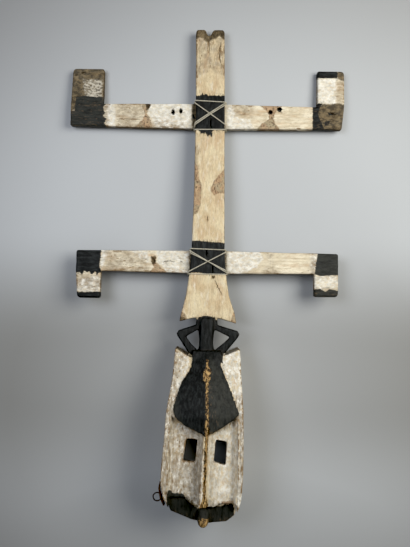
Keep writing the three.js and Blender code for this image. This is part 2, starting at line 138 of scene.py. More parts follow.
def normals_of(piece):
    flat = np.empty(3 * len(piece.data.vertices))
    piece.data.vertex_normals.foreach_get("vector", flat)
    return flat.reshape(-1, 3)


def in_log(points):
    """Points of the frame in the log's own millimetres."""
    back = np.array(TO_ROW.inverted())
    return points @ back[:3, :3].T + back[:3, 3]


def move_along_normals(piece, node, amounts):
    """Moves each vertex along its normal by millimetres, and no further than the CAD node's box."""
    moved = points_of(piece) + normals_of(piece) * (amounts * MM)[:, None]
    low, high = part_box(node)
    moved = np.clip(moved, np.array(low), np.array(high))
    piece.data.vertices.foreach_set("co", moved.ravel())
    piece.data.update()


def noise(points, seed):
    """Smooth noise from -1 to 1, with one lump to each unit of length."""
    cell = np.floor(points).astype(np.int64)
    share = points - cell
    ease = share * share * (3 - 2 * share)
    total = np.zeros(len(points))
    for corner in itertools.product((0, 1), repeat=3):
        # each corner of a cell gets a value of its own, scattered by large odd factors
        key = (cell + corner) @ np.array([73856093, 19349663, 83492791]) + seed * 26544357
        key = (key ^ (key >> 13)) * 1274126177 & 0x7FFFFFFF
        key = (key ^ (key >> 15)) * 668265263 & 0x7FFFFFFF
        weight = np.where(corner, ease, 1 - ease).prod(axis=1)
        total += weight * ((key >> 8) % 65536 / 32768 - 1)
    return total


# A zone's depth is measured no further from its outline than this, in mm
FAR = 60


def depth_inside(at, corners):
    """How far each (x, y) lies inside an outline, in mm. It is negative outside."""
    x, y = at[:, 0], at[:, 1]
    nearest = np.full(len(at), float(FAR))
    crossed = np.zeros(len(at), bool)
    for i, (ax, ay) in enumerate(corners):
        bx, by = corners[(i + 1) % len(corners)]
        run, rise = bx - ax, by - ay
        share = ((x - ax) * run + (y - ay) * rise) / (run * run + rise * rise)
        share = np.clip(share, 0, 1)
        nearest = np.minimum(nearest, np.hypot(x - ax - share * run, y - ay - share * rise))
        if rise:
            crossed ^= ((ay > y) != (by > y)) & (x < ax + run * (y - ay) / rise)
    return np.where(crossed, nearest, -nearest)


def mark(piece, name, values):
    """Stores one number at each vertex, for the materials to read."""
    stored = piece.data.attributes.new(name, "FLOAT", "POINT")
    stored.data.foreach_set("value", values.astype(np.float32))


# How often a vertex shares its bulge with its neighbours, and what is then a full edge
BULGE_SPREAD = 3
BULGE_GAIN = 4


def bulge(piece):
    """How sharply the surface bulges at each vertex: about 1 on an edge, -1 in a corner."""
    edges = np.empty(2 * len(piece.data.edges), int)
    piece.data.edges.foreach_get("vertices", edges)
    a, b = edges.reshape(-1, 2).T
    count = len(piece.data.vertices)
    ends = np.concatenate([a, b])
    others = np.concatenate([b, a])
    degree = np.bincount(ends, minlength=count)
    points = points_of(piece)
    steps = points[others] - points[ends]
    reach = np.linalg.norm(steps, axis=1)
    outward = -(steps * normals_of(piece)[ends]).sum(axis=1) / np.maximum(reach, 1e-9)
    values = np.bincount(ends, outward, count) / degree
    for _ in range(BULGE_SPREAD):
        values = (values + np.bincount(ends, values[others], count) / degree) / 2
    return np.clip(values * BULGE_GAIN, -1, 1)


def smooth_step(values, start, end):
    """An eased rise from 0 at a start to 1 at an end."""
    share = np.clip((values - start) / (end - start), 0, 1)
    return share * share * (3 - 2 * share)


# Painted zones
#
# Each zone is an outline seen from the front. Its corners are (x, height), and the heights of the
# planks' zones are above the plank's centre line.

FINISHES = ("black", "bare", "white", "tan", "smoke_and_shade", "thin_and_lit", "rubbed")


def at_level(level, corners):
    """An outline or a line, moved up the log to a level."""
    return [(x, level + up) for x, up in corners]


def blot(x, y, width, height):
    """The outline of a round spot."""
    turns = [math.tau * i / 8 for i in range(8)]
    return [(x + width / 2 * math.cos(turn), y + height / 2 * math.sin(turn)) for turn in turns]


MASK_ZONES = {
    "black": [
        # across the board at the upper crossbar, with runs of paint below it
        at_level(UPPER_BAR, [
            (-45, 41), (-20, 42), (-18, 52), (-15, 43), (-8, 47), (-5, 42), (14, 43), (45, 42),
            (45, -38), (8, -38),
            (7, -53), (3, -54), (2, -39), (0, -50), (-6, -51), (-7, -39), (-11, -45), (-20, -46),
            (-22, -38), (-45, -38)]),
        # across the board at the lower crossbar
        at_level(LOWER_BAR, [
            (-50, 45), (-20, 46), (0, 44), (50, 42), (55, -27), (12, -28), (-20, -25), (-55, -27)]),
        # the figure, brushed a little over the board's lower edge
        at_level(FLARE, [
            (-80, -6), (-45, -3), (-30, 3), (-19, 5), (-16, 10), (0, 13), (19, 10), (22, 4),
            (34, 1), (50, -4), (80, -7), (80, -48), (60, -57), (47, -67), (38, -70), (38, -88),
            (-29, -80), (-29, -74), (-36, -70), (-45, -64), (-60, -50), (-80, -42)]),
        # the forehead, down to the pointed brow
        at_level(FACE_HEIGHT / 2, [
            (-29, 160), (-30, 138), (-40, 121), (-50, 107), (-60, 77), (-66, 53), (-62, 38),
            (-43, 23), (-19, 12), (-3, 3), (7, 0), (23, 5), (40, 17), (61, 30), (72, 46),
            (64, 66), (54, 93), (41, 122), (33, 142), (38, 164)]),
        # the set-back band round the mouth
        [(-75, 63), (-67, 62), (-65, 56), (-42, 55), (-33, 38), (-10, 22), (-8, 26), (10, 31),
         (37, 27), (42, 32), (64, 33), (65, 10), (48, -6), (15, -10), (-25, -4), (-46, 4),
         (-75, 14)],
    ],
    "tan": [
        # the worn crest of the forehead
        [(3, 331), (6, 331), (7, 318), (12, 306), (11, 292), (7, 284), (7, 255), (8, 230),
         (9, 189), (1, 189), (3, 215), (2, 250), (1, 280), (-4, 292), (-4, 300), (1, 312)],
        # the worn crest and tip of the nose
        [(9, 192), (8, 165), (7, 138), (6, 110), (5, 88), (5, 60), (8, 48), (11, 35), (9, 28),
         (-8, 28), (-9, 36), (-7, 43), (-3, 50), (-1, 60), (-1, 88), (0, 110), (1, 138), (1, 165),
         (2, 192)],
        # the tip of the mouth peg
        [(-8, 6), (0, 9), (11, 7), (12, -20), (-9, -20)],
    ],
    "bare": [
        # half moons on both edges of the board
        at_level(HALF_MOONS, [
            (-50, 62), (-23, 60), (-20, 30), (-16, 18), (-15, -15), (-17, -30), (-22, -46),
            (-36, -58), (-50, -62)]),
        at_level(HALF_MOONS, [
            (50, 62), (34, 52), (23, 38), (11, 20), (6, 9), (7, 0), (14, -11), (18, -4), (50, -2)]),
        # the flare's corners
        at_level(FLARE, [(-80, -10), (-55, 22), (-47, 16), (-42, 6), (-46, -6)]),
        at_level(FLARE, [(80, -12), (62, 26), (58, 14), (54, 2)]),
        # raw wood where the cheeks have chipped
        [(37, 41), (62, 42), (64, 32), (42, 32), (38, 30)],
    ],
    "white": [
        # the cheeks and the rims beside them
        [(-59, 196), (-43, 199), (-19, 188), (-3, 179), (-1, 30), (-40, 44), (-75, 52)],
        [(40, 190), (23, 178), (9, 170), (9, 25), (35, 30), (68, 40), (66, 205), (55, 205)],
        [(-95, 20), (-67, 20), (-64, 120), (-62, 200), (-56, 290), (-75, 300), (-100, 200)],
        [(95, 10), (68, 10), (66, 120), (68, 200), (62, 270), (80, 290), (100, 200)],
        # beside the forehead
        [(-84, 280), (-78, 350), (-38, 340), (-34, 310), (-52, 275), (-66, 230)],
        [(84, 280), (78, 350), (36, 345), (34, 318), (42, 298), (55, 268), (66, 240), (74, 215)],
    ],
    "smoke_and_shade": [
        # the board's scorched top
        at_level(BOARD_TOP, [
            (-60, 10), (60, 10), (60, -26), (30, -24), (20, -16), (8, -24), (-8, -30), (-18, -20),
            (-60, -28)]),
        # the cheeks' broken lower edge beside the nose
        [(-34, 48), (-24, 41), (-13, 31), (-9, 33), (-8, 24), (-34, 35)],
        [(10, 32), (24, 36), (38, 36), (38, 28), (10, 28)],
        # a stain at the left of the flare's lower edge
        at_level(FLARE, [(-60, 12), (-46, 8), (-47, -2), (-66, -2)]),
    ],
    "thin_and_lit": [
        # the board's top, and its left edge above the half moon
        at_level(BOARD_TOP, [(-60, 10), (60, 10), (60, -120), (0, -96), (-60, -130)]),
        at_level(HALF_MOONS, [(-50, 112), (-22, 108), (-23, 55), (-50, 55)]),
        # the left cheek and rim
        [(-95, 20), (-100, 200), (-80, 300), (-64, 296), (-56, 240), (-45, 199), (-19, 188),
         (-4, 179), (-4, 34), (-40, 48)],
        # the right rim, and the left wall beside the forehead
        [(72, 60), (71, 200), (68, 260), (95, 260), (100, 60)],
        [(-90, 270), (-80, 350), (-38, 345), (-46, 310), (-64, 270)],
        # the right half of the black forehead, dusted lighter as painted light on the side that
        # faces the light, and under the mouth
        [(10, 335), (36, 300), (75, 220), (75, 196), (36, 184), (8, 190)],
        [(-80, 64), (-66, 60), (-40, 52), (-10, 22), (65, 26), (65, -20), (-80, -20)],
    ],
    "rubbed": [
        # under the mouth
        [(-75, 20), (65, 8), (65, -20), (-75, -20)],
        # beside the forehead's crest, and most at its right foot
        [(-2, 320), (16, 320), (22, 260), (20, 230), (38, 205), (36, 186), (8, 180), (-2, 192)],
        # the mouth band's upper left corner
        [(-75, 66), (-52, 60), (-50, 50), (-75, 52)],
        # the black band's upper edge at the lower crossbar
        at_level(LOWER_BAR, [(-50, 50), (50, 50), (50, 36), (-50, 38)]),
    ],
}

UPPER_BAR_ZONES = {
    "black": [
        # the left hand's lower half, and a spot beside the board
        [(-305, 40), (-285, 43), (-257, 40), (-240, 42), (-236, 28), (-243, 16), (-239, 4),
         (-242, -4), (-234, -10), (-239, -20), (-233, -30), (-236, -45), (-330, -45), (-330, 4),
         (-308, 8)],
        [(-40, 3), (-34, 5), (-32, -7), (-39, -5)],
        # the right hand: its tip, its lower half, and spots in what is worn
        [(235, 120), (293, 120), (292, 94), (235, 93)],
        [(236, 34), (258, 34), (252, 22), (248, 8), (254, -8), (262, -25), (300, -27), (330, -28),
         (330, -45), (236, -45)],
        [(270, 12), (284, 14), (286, 8), (272, 6)],
        [(262, -8), (276, -6), (272, -16), (264, -18)],
        # knots and worm holes
        blot(-83, 8, 8, 14), blot(-65, 11, 8, 12),
        blot(140, 11, 11, 10), blot(160, 18, 12, 12),
    ],
    "smoke_and_shade": [
        # the left hand, a smear along the plank, and painted shadow with dirt on the edge beside
        # the board
        [(-330, 130), (-226, 130), (-226, 34), (-302, 30), (-302, 9), (-330, 9)],
        [(-146, 32), (-133, 32), (-137, 16), (-143, 8)],
        [(-41, 36), (-29, 36), (-29, -36), (-39, -36)],
        # the right hand's corner and its lower half
        [(292, 120), (330, 120), (330, 88), (302, 87), (292, 94)],
        [(236, 33), (330, 34), (330, -45), (236, -45)],
    ],
    "white": [
        # the left hand and the plank beside it
        [(-290, 80), (-246, 82), (-246, 38), (-285, 40)],
        [(-238, 34), (-216, 34), (-214, -34), (-230, -34)],
        # both sides of the board, and the right hand
        [(-131, 36), (-41, 36), (-41, -34), (-116, -36), (-128, -14), (-139, 8)],
        [(40, 32), (52, 30), (60, 0), (92, -8), (106, -36), (40, -36)],
        [(240, 93), (291, 93), (289, 34), (243, 33)],
    ],
    "bare": [
        # the hourglass on the left, and both halves of the one on the right
        [(-158, 36), (-134, 36), (-140, 12), (-142, 5), (-135, -11), (-127, -34), (-127, -40),
         (-178, -40), (-152, -10), (-147, 5), (-152, 14)],
        [(113, 38), (115, 28), (127, 17), (134, 10), (138, -6), (145, -4), (152, 12), (166, 27),
         (170, 38)],
        [(138, -3), (120, -16), (111, -28), (108, -40), (166, -40), (161, -30), (150, -14),
         (145, -3)],
    ],
    "thin_and_lit": [
        # washed places along the plank and on the hands
        [(-214, 36), (-158, 36), (-146, 5), (-178, -36), (-212, -36)],
        [(288, 92), (320, 90), (320, 34), (288, 34)],
        [(46, 36), (104, 36), (96, 0), (56, 0)],
        [(-330, 45), (-230, 45), (-230, -45), (-330, -45)],
        [(-190, -12), (-120, -16), (-60, -20), (-44, -40), (-200, -40)],
    ],
    "rubbed": [
        # both hands' lower halves
        [(-330, 45), (-230, 45), (-230, -45), (-330, -45)],
        [(230, 36), (330, 36), (330, -45), (230, -45)],
    ],
    "tan": [],
}

LOWER_BAR_ZONES = {
    "black": [
        # the left hand's upper half and tip, then the right hand's
        [(-310, 40), (-238, 40), (-237, 10), (-240, -8), (-236, -26), (-240, -28), (-245, -32),
         (-249, -24), (-256, -32), (-262, -26), (-268, -27), (-274, -24), (-278, -32), (-283, -27),
         (-310, -28)],
        [(-310, -71), (-220, -70), (-220, -98), (-310, -98)],
        [(249, 34), (310, 34), (310, -24), (282, -25), (252, -27), (241, -24), (241, -18)],
        [(230, -57), (253, -56), (264, -61), (275, -56), (290, -60), (300, -55), (310, -52),
         (310, -98), (230, -98)],
    ],
    "smoke_and_shade": [
        # a smear in the hourglass, and painted shadow with dirt on the edges beside the board
        [(-126, 10), (-115, 12), (-114, -4), (-122, -7)],
        [(-41, 34), (-36, 34), (-36, -34), (-40, -34)],
        [(39, 34), (43, 34), (46, -34), (40, -34)],
    ],
    "white": [
        # the hands, then the plank from left to right
        [(-300, -44), (-228, -34), (-228, -69), (-300, -70)],
        [(236, -26), (305, -26), (305, -54), (236, -56)],
        [(-238, 28), (-222, 24), (-228, 0), (-238, -20)],
        [(-205, 32), (-139, 32), (-128, 8), (-128, -4), (-150, 8), (-170, 22)],
        [(-110, 32), (-41, 32), (-41, -34), (-86, -34), (-100, -10), (-112, 0)],
        [(44, 34), (118, 32), (126, 8), (112, -10), (60, -34), (44, -34)],
        [(234, 30), (249, 30), (243, -26), (232, -26)],
    ],
    "bare": [
        # the hourglass on the left
        [(-124, 12), (-114, 12), (-114, -2), (-105, -11), (-90, -22), (-88, -34), (-130, -34),
         (-127, -22), (-117, -13), (-125, -2)],
    ],
    "thin_and_lit": [
        # the faint hourglass on the right, the plank's left half, and the hands
        [(129, 34), (154, 34), (146, 10), (144, -4), (168, -24), (168, -34), (120, -34), (125, -20),
         (138, -4), (138, 10)],
        [(-226, 36), (-190, 36), (-160, 10), (-136, 6), (-124, -36), (-228, -36)],
        [(-310, -30), (-230, -32), (-232, -66), (-310, -66)],
        [(230, 40), (310, 40), (310, -28), (230, -28)],
        [(230, -56), (310, -54), (310, -100), (230, -100)],
    ],
    "rubbed": [
        [(230, -50), (310, -50), (310, -100), (230, -100)],
    ],
    "tan": [],
}


def mark_paint(piece, zones, level=0):
    """Stores how far each vertex lies inside the zones of every finish. The heights of the zones
    are above a level."""
    at = in_log(points_of(piece))
    for finish in FINISHES:
        reach = np.full(len(at), float(-FAR))
        for corners in zones[finish]:
            reach = np.maximum(reach, depth_inside(at, at_level(level, corners)))
        mark(piece, finish, reach)


def mark_wear(piece, hidden, spared=0):
    """Stores where edges are rubbed, where the surface is hollow, for dirt and painted shade, and
    where the wood was left raw: on the back, and where it is hidden. Steep sides get dark soil and
    painted shade, but less where they are spared."""
    shape = bulge(piece)
    mark(piece, "edge", np.clip(shape, 0, 1))
    # hollow places, marked for dirt and painted shade
    mark(piece, "cavity", np.clip(-shape, 0, 1))
    facing = normals_of(piece) @ np.array(TO_ROW.to_3x3().normalized().col[2])
    mark(piece, "raw", np.maximum(smooth_step(-facing, 0.3, 0.6), hidden))
    # steep sides, marked for dark soil and painted shade
    mark(piece, "side", smooth_step(-np.abs(facing), -0.6, -0.25) * (1 - spared))


# Carved surfaces

# Widths, lengths and depths of an adze's facets and of the weathered grain, in mm
FACETS = (15.0, 42.0, 0.4)
GRAIN = (4.5, 34.0, 0.16)


def tool_marks(at, along, seed):
    """The long shallow facets of an adze, and weathered grain, in mm. Both run along an axis."""
    height = np.zeros(len(at))
    for rank, (width, length, depth) in enumerate((FACETS, GRAIN)):
        size = np.full(3, width)
        size[along] = length
        height += depth * noise(at / size, seed + rank)
    return height


# How many places a crack's outline is drawn at, and how far its cutter stands proud, in mm
CRACK_STATIONS = 9
CUTTER_PROUD = 4


def crack(points, width, deep, front, name):
    """A cutter for an open crack along a line: widest in its middle, and pointed at its ends. It
    goes deep into the wood from its front."""
    line = np.array(points, float)
    lengths = np.linalg.norm(np.diff(line, axis=0), axis=1)
    travel = np.concatenate([[0], np.cumsum(lengths)]) / lengths.sum()
    shares = np.linspace(0, 1, CRACK_STATIONS)
    middle = np.stack([np.interp(shares, travel, line[:, i]) for i in (0, 1)], axis=1)
    along = np.gradient(middle, axis=0)
    across = np.stack([-along[:, 1], along[:, 0]], axis=1)
    across /= np.linalg.norm(across, axis=1)[:, None]
    # it wanders to both sides, and is narrow at its ends
    wander = 0.5 * width * np.sin(shares * 23 + front)
    half = 0.5 * width * np.sin(math.pi * np.clip(shares, 0.03, 0.97)) ** 0.6
    left = middle + across * (wander + half)[:, None]
    right = middle + across * (wander - half)[:, None]
    rim = np.concatenate([left, right[::-1]])
    corners = [TO_ROW @ Vector((x, y, front - deep)) for x, y in rim]
    mesh = bpy.data.meshes.new(name)
    mesh.from_pydata(corners, [], [range(len(corners))])
    cutter = bpy.data.objects.new(name, mesh)
    bpy.context.scene.collection.objects.link(cutter)
    only(cutter)
    bpy.ops.object.mode_set(mode="EDIT")
    bpy.ops.mesh.select_all(action="SELECT")
    rise = TO_ROW.to_3x3() @ Vector((0, 0, deep + CUTTER_PROUD))
    bpy.ops.mesh.extrude_region_move(TRANSFORM_OT_translate={"value": rise})
    bpy.ops.mesh.select_all(action="SELECT")
    bpy.ops.mesh.normals_make_consistent(inside=False)
    bpy.ops.object.mode_set(mode="OBJECT")
    return cutter


def cut_cracks(piece, cracks):
    """Cuts every crack of a list out of a piece. Each is (line of points, width, depth, front)."""
    cutters = [crack(*shape, name=f"{piece.name}_crack_{i}") for i, shape in enumerate(cracks)]
    bpy.ops.object.select_all(action="DESELECT")
    for cutter in cutters:
        cutter.select_set(True)
    bpy.context.view_layer.objects.active = cutters[0]
    if len(cutters) > 1:
        bpy.ops.object.join()
    shaped_by(piece, "BOOLEAN", operation="DIFFERENCE", object=cutters[0], solver="EXACT")
    bpy.data.objects.remove(cutters[0])


# Shallow grooves down the rims: heights, and x at each
GROOVE_DEPTH = 1.7
GROOVE_HALF_WIDTH = 1.5
RIM_GROOVES = (
    ((40, 130, 200, 290), (-71, -70, -68, -58)),
    ((40, 130, 200, 290), (-78, -78, -75, -64)),
    ((40, 190, 260, 290), (69, 67.5, 66, 63)),
    ((40, 190, 260, 290), (74.5, 74, 72, 68)),
)

# Each crack is (its line, its width, its depth, the front it is cut from)
MASK_CRACKS = (
    ([(23, 1045), (21, 1020), (22, 1003), (26, 992), (31, 980)], 1.6, 4, 0),
    ([(-4, 1052), (-3, 1030), (-2, 1014)], 1.2, 3, 0),
    ([(3, 866), (4, 837)], 1.8, 4, 0),
    ([(-2, 569), (-1, 560), (-1, 553)], 2, 4, 0),
    ([(12, 534), (13, 522), (12, 513)], 1.8, 4, 0),
    ([(11, 510), (16, 505)], 5, 6, 0),
    ([(18, 500), (24, 488), (27, 482), (33, 471)], 1.7, 4, 0),
    ([(-1, 642), (0, 632)], 1.6, 3, 0),
    ([(2, 118), (3, 96), (1, 72)], 1.9, 5, NOSE_FRONT),
    ([(0, 154), (1, 138), (0, 120)], 1.7, 5, NOSE_FRONT),
    ([(10, 196), (8, 186), (9, 180)], 4, 7, NOSE_FRONT),
)

# The hollow for the face, seen from the front, and its ceiling: heights, and z at each
HOLLOW = [(-62, 30), (-70, 60), (-78, 140), (-72, 230), (-66, 280), (-55, 330),
          (60, 330), (68, 260), (70, 100), (62, 25), (20, 10), (-30, 16)]
HOLLOW_CEILING = ((0, 60, 170, 225, 330), (18, 28, 28, 26, -8))


def mask_and_board():
    """The carving of one log, from the chin to the notched top of the board."""
    node = "mask_and_board"
    piece = fine_copy(node, "carved_mask", voxel=1.7, triangles=186000)
    at = in_log(points_of(piece))
    x, y, z = at.T
    moves = tool_marks(at, along=1, seed=11)
    # grooves down the rims, only on their front
    front = smooth_step(z, CHEEK_FRONT - 4, CHEEK_FRONT + 2) * smooth_step(y, 30, 45)
    front *= smooth_step(-y, -290, -250)
    for levels, places in RIM_GROOVES:
        away = np.abs(x - np.interp(y, levels, places)) / GROOVE_HALF_WIDTH
        moves -= GROOVE_DEPTH * front * np.exp(-(away ** 2)) * (1 + 0.6 * noise(at / 14, 5))
    # chips along the crest of the nose and forehead, and on the cheeks' broken edge
    crest = smooth_step(-np.abs(x - CREST), -9, -5) * smooth_step(z, 14, 40)
    crest *= smooth_step(y, 30, 40) * smooth_step(-y, -345, -330)
    moves -= 1.5 * crest * np.clip(noise(at / (4, 9, 4), 21), 0, 1)
    broken = smooth_step(-np.abs(y - CHEEK_FOOT), -16, -4) * smooth_step(z, 24, 30)
    moves -= 1.3 * broken * np.clip(noise(at / 5, 31), -0.4, 1)
    # the ragged left edge of the board beside its half-moon stain
    rough = smooth_step(-x, 26, 32) * smooth_step(-np.abs(y - HALF_MOONS - 4), -80, -50)
    moves -= 1.6 * rough * np.clip(noise(at / (6, 9, 30), 41), 0, 1)
    move_along_normals(piece, node, moves)
    cut_cracks(piece, MASK_CRACKS)
    at = in_log(points_of(piece))
    x, y, z = at.T
    ceiling = np.interp(y, *HOLLOW_CEILING)
    hidden = smooth_step(depth_inside(at, HOLLOW), 0, 3) * smooth_step(ceiling - z, -1, 2)
    # the nose's sides, and most of the box's walls, are spared the steep sides' dark soil and
    # painted shade
    nose = smooth_step(-np.abs(x - CREST), -24, -18) * smooth_step(-y, -190, -180) * (y > 28)
    nose *= z > 30
    walls = 0.75 * smooth_step(-y, -FACE_HEIGHT, 20 - FACE_HEIGHT) * (np.abs(x) > 50)
    mark_paint(piece, MASK_ZONES)
    mark_wear(piece, hidden, np.maximum(nose, walls))
    return piece


# Cracks, worm holes and split knots in the planks. Each is (a line, its width, its depth), and its
# heights are above the plank's centre line
UPPER_BAR_CRACKS = (
    ([(275, 13), (289, 8)], 4.2, 6),
    ([(-138, 30), (-137, 22), (-141, 13)], 4, 2),
    ([(-207, -9), (-178, -10), (-158, -11)], 1.1, 2),
    ([(-295, 97), (-288, 98)], 3.4, 3),
    ([(-310, 91), (-304, 92)], 3, 3),
    ([(-86, 14), (-83, 8), (-81, 2)], 6.4, 7),
    ([(-66, 16), (-65, 6)], 6, 7),
    ([(135, 11), (145, 12)], 7, 7),
    ([(155, 18), (164, 19)], 7.6, 7),
    ([(142, 2), (143, -6)], 2.4, 2),
)

LOWER_BAR_CRACKS = (
    ([(-98, -2), (-84, 1), (-72, -1)], 3, 2),
    ([(-60, 0), (-54, -1)], 2, 2),
    ([(-64, 8), (-52, 6)], 1, 2),
    ([(-123, 8), (-117, 2), (-119, -5)], 3, 2),
)


def crossbar(node, name, level, zones, cracks, seed):
    """A hewn plank with a hand at each end."""
    piece = fine_copy(node, name, voxel=1.5, triangles=120000)
    move_along_normals(piece, node, tool_marks(in_log(points_of(piece)), along=0, seed=seed))
    cut_cracks(piece, [(at_level(level, line), width, deep, BAR_FRONT)
                       for line, width, deep in cracks])
    mark_paint(piece, zones, level)
    mark_wear(piece, hidden=np.zeros(len(piece.data.vertices)))
    return piece


def upper_crossbar():
    return crossbar("upper_crossbar", "upper_plank", UPPER_BAR, UPPER_BAR_ZONES,
                    UPPER_BAR_CRACKS, seed=51)


def lower_crossbar():
    return crossbar("lower_crossbar", "lower_plank", LOWER_BAR, LOWER_BAR_ZONES,
                    LOWER_BAR_CRACKS, seed=61)


# Lashings

# A cord of two plies, in mm, and how far it lies off the wood
CORD_RADIUS = 1.2
PLY_RADIUS = 0.62 * CORD_RADIUS
PLY_OFFSET = 0.48 * CORD_RADIUS
PLY_PITCH = 7
PLY_STEP = 1.1
CORD_GAP = 0.3

# The board's edges, where the cord goes round them: levels, and x at each
EDGE_LEVELS = (LOWER_BAR - LOWER_BAR_HALF, LOWER_BAR + LOWER_BAR_HALF,
               (LOWER_BAR + UPPER_BAR) / 2, UPPER_BAR, BOARD_TOP)
BOARD_EDGES = {
    "left": (-38.9, -34.8, -31.5, -30.8, -33.5),
    "right": (42.5, 38.5, 36.5, 34.8, 31.8),
}


def eased(route):
    """A route with its bends rounded."""
    line = [Vector(point) for point in route]
    # each pass cuts the corners once more
    for _ in range(3):
        inner = []
        for a, b in zip(line, line[1:]):
            step = min(0.25, 1.2 * CORD_RADIUS / max((b - a).length, 1e-6))
            inner += [a.lerp(b, step), b.lerp(a, step)]
        line = [line[0], *inner[1:-1], line[-1]]
    return line


def plies(route):
    """The two plies of a cord, each a line of points that winds round the cord's route."""
    line = eased(route)
    stations = [line[0]]
    for a, b in zip(line, line[1:]):
        count = max(1, round((b - a).length / PLY_STEP))
        stations += [a.lerp(b, (i + 1) / count) for i in range(count)]
    side = Vector((0, 0, 1)).cross(stations[1] - stations[0])
    if side.length < 1e-6:
        side = Vector((1, 0, 0))
    travel = 0.0
    made = ([], [])
    for i, at in enumerate(stations):
        ahead = stations[min(i + 1, len(stations) - 1)] - stations[max(i - 1, 0)]
        ahead.normalize()
        side = (side - ahead * side.dot(ahead)).normalized()
        if i:
            travel += (at - stations[i - 1]).length
        turn = math.tau * travel / PLY_PITCH
        other = ahead.cross(side)
        off = (side * math.cos(turn) + other * math.sin(turn)) * PLY_OFFSET
        made[0].append(at + off)
        made[1].append(at - off)
    return made


def cord_piece(name, routes):
    """All the strands of one lashing, as a single mesh of two-ply cord."""
    curve = bpy.data.curves.new(name, "CURVE")
    curve.dimensions = "3D"
    curve.bevel_depth = PLY_RADIUS * MM
    curve.bevel_resolution = 1
    curve.use_fill_caps = True
    for route in routes:
        for ply in plies(route):
            spline = curve.splines.new("POLY")
            spline.points.add(len(ply) - 1)
            for point, at in zip(spline.points, ply):
                point.co = (*(TO_ROW @ at), 1)
    piece = bpy.data.objects.new(name, curve)
    bpy.context.scene.collection.objects.link(piece)
    only(piece)
    bpy.ops.object.convert(target="MESH")
    piece = bpy.context.view_layer.objects.active
    piece.name = name
    return piece


def lashing(name, bar, half, levels, diagonals):
    """A square lashing with a cross in front. Levels are the heights of the front turns' ends above
    the bar's centre line, and each diagonal is the pair of its ends' heights."""
    off = CORD_RADIUS + CORD_GAP
    front, back = off, BAR_BACK - off
    end = half + off

    def edge(side, up, rank=0):
        """Where a strand passes the board's edge at a height. Ranks lie outside each other."""
        outward = -1 if side == "left" else 1
        at_edge = float(np.interp(bar + up, EDGE_LEVELS, BOARD_EDGES[side]))
        return at_edge + outward * (off + rank * 2 * CORD_RADIUS)

    (top_left, top_right), (bottom_left, bottom_right) = levels
    turns = [
        ("left", top_left, front), ("right", top_right, front), ("right", end, back),
        ("right", -end, back), ("right", bottom_right, front), ("left", bottom_left, front),
        ("left", -end, back), ("left", end, back), ("left", top_left, front)]
    routes = [[(edge(side, up), bar + up, z) for side, up, z in turns]]
    for rank, (left, right) in enumerate(diagonals):
        # each diagonal crosses over the one before it
        lift = (0.5 + rank) * CORD_RADIUS
        ends = []
        for side, up in (("left", left), ("right", right)):
            corner = math.copysign(end, up)
            ends.append([(edge(side, up), bar + up, front),
                         (edge(side, corner, 1), bar + corner, BAR_FRONT),
                         (edge(side, corner, 1), bar + corner, back)])
        middle = (0.5 * (ends[0][0][0] + ends[1][0][0]), bar + 0.5 * (left + right), front + lift)
        routes.append([*reversed(ends[0]), middle, *ends[1]])
    for side in ("left", "right"):
        x = edge(side, 0, 1)
        routes.append([(x, bar + end, back), (x, bar, back), (x, bar - end, back)])
    return cord_piece(name, routes)


def upper_lashing():
    half = UPPER_BAR_HALF
    return lashing("upper_lashing_cord", UPPER_BAR, half, levels=((30, 27), (-37, -36)),
                   diagonals=((0.8 * half, -0.84 * half), (-0.72 * half, 0.84 * half),
                              (-0.86 * half, 0.7 * half)))


def lower_lashing():
    half = LOWER_BAR_HALF
    return lashing("lower_lashing_cord", LOWER_BAR, half, levels=((28, 26), (-28, -28)),
                   diagonals=((-0.88 * half, 0.8 * half), (0.86 * half, -0.94 * half),
                              (0.7 * half, -0.78 * half)))


# Strip and ring at the left of the chin

def hide_strip():
    """A curled strip of rawhide, thinner at its edges and wrinkled as it dried."""
    node = "hide_strip"
    piece = fine_copy(node, "rawhide_strip", voxel=0.8, triangles=30000, smoothing=5)
    at = in_log(points_of(piece))
    wrinkles = 0.35 * noise(at / (5, 3.2, 6), 71) + 0.15 * noise(at / 1.8, 72)
    move_along_normals(piece, node, wrinkles)
    return piece


def wire_ring():
    """A forged wire, bent into an open ring, with a pitted and scaly surface."""
    node = "wire_ring"
    piece = fine_copy(node, "iron_ring", voxel=0.45, triangles=30000, smoothing=6)
    at = in_log(points_of(piece))
    scale = 0.16 * noise(at / 2.2, 81) + 0.09 * noise(at / 0.9, 82)
    move_along_normals(piece, node, scale)
    return piece


# Materials

def colour(hex_code):
    """An sRGB hex colour in linear light, with full alpha."""
    channels = [int(hex_code[i:i + 2], 16) / 255 for i in (1, 3, 5)]
    return (*[c / 12.92 if c <= 0.04045 else ((c + 0.055) / 1.055) ** 2.4 for c in channels], 1)


def new_material(name):
    """An empty material, and its tree of nodes."""
    material = bpy.data.materials.new(name)
    material.use_nodes = True
    material.node_tree.nodes.clear()
    return material, material.node_tree


def add(tree, kind, inputs=None, out=None, **settings):
    """Adds a node with its settings, values and links, and returns the output that is asked for."""
    node = tree.nodes.new("ShaderNode" + kind)
    for key, value in settings.items():
        setattr(node, key, value)
    for key, value in (inputs or {}).items():
        if isinstance(key, int):
            socket = node.inputs[key]
        else:
            socket = next(s for s in node.inputs if s.name == key and s.enabled)
        if isinstance(value, bpy.types.NodeSocket):
            tree.links.new(value, socket)
        else:
            socket.default_value = value
    if out:
        return node.outputs[out]
    return next((s for s in node.outputs if s.enabled), None)


def in_mm(tree, turn=0):
    """Places on the piece in mm, turned about the frame's z axis."""
    place = add(tree, "TexCoord", out="Object")
    return add(tree, "Mapping", {"Vector": place, "Rotation": (0, 0, turn),
                                 "Scale": (1 / MM,) * 3})


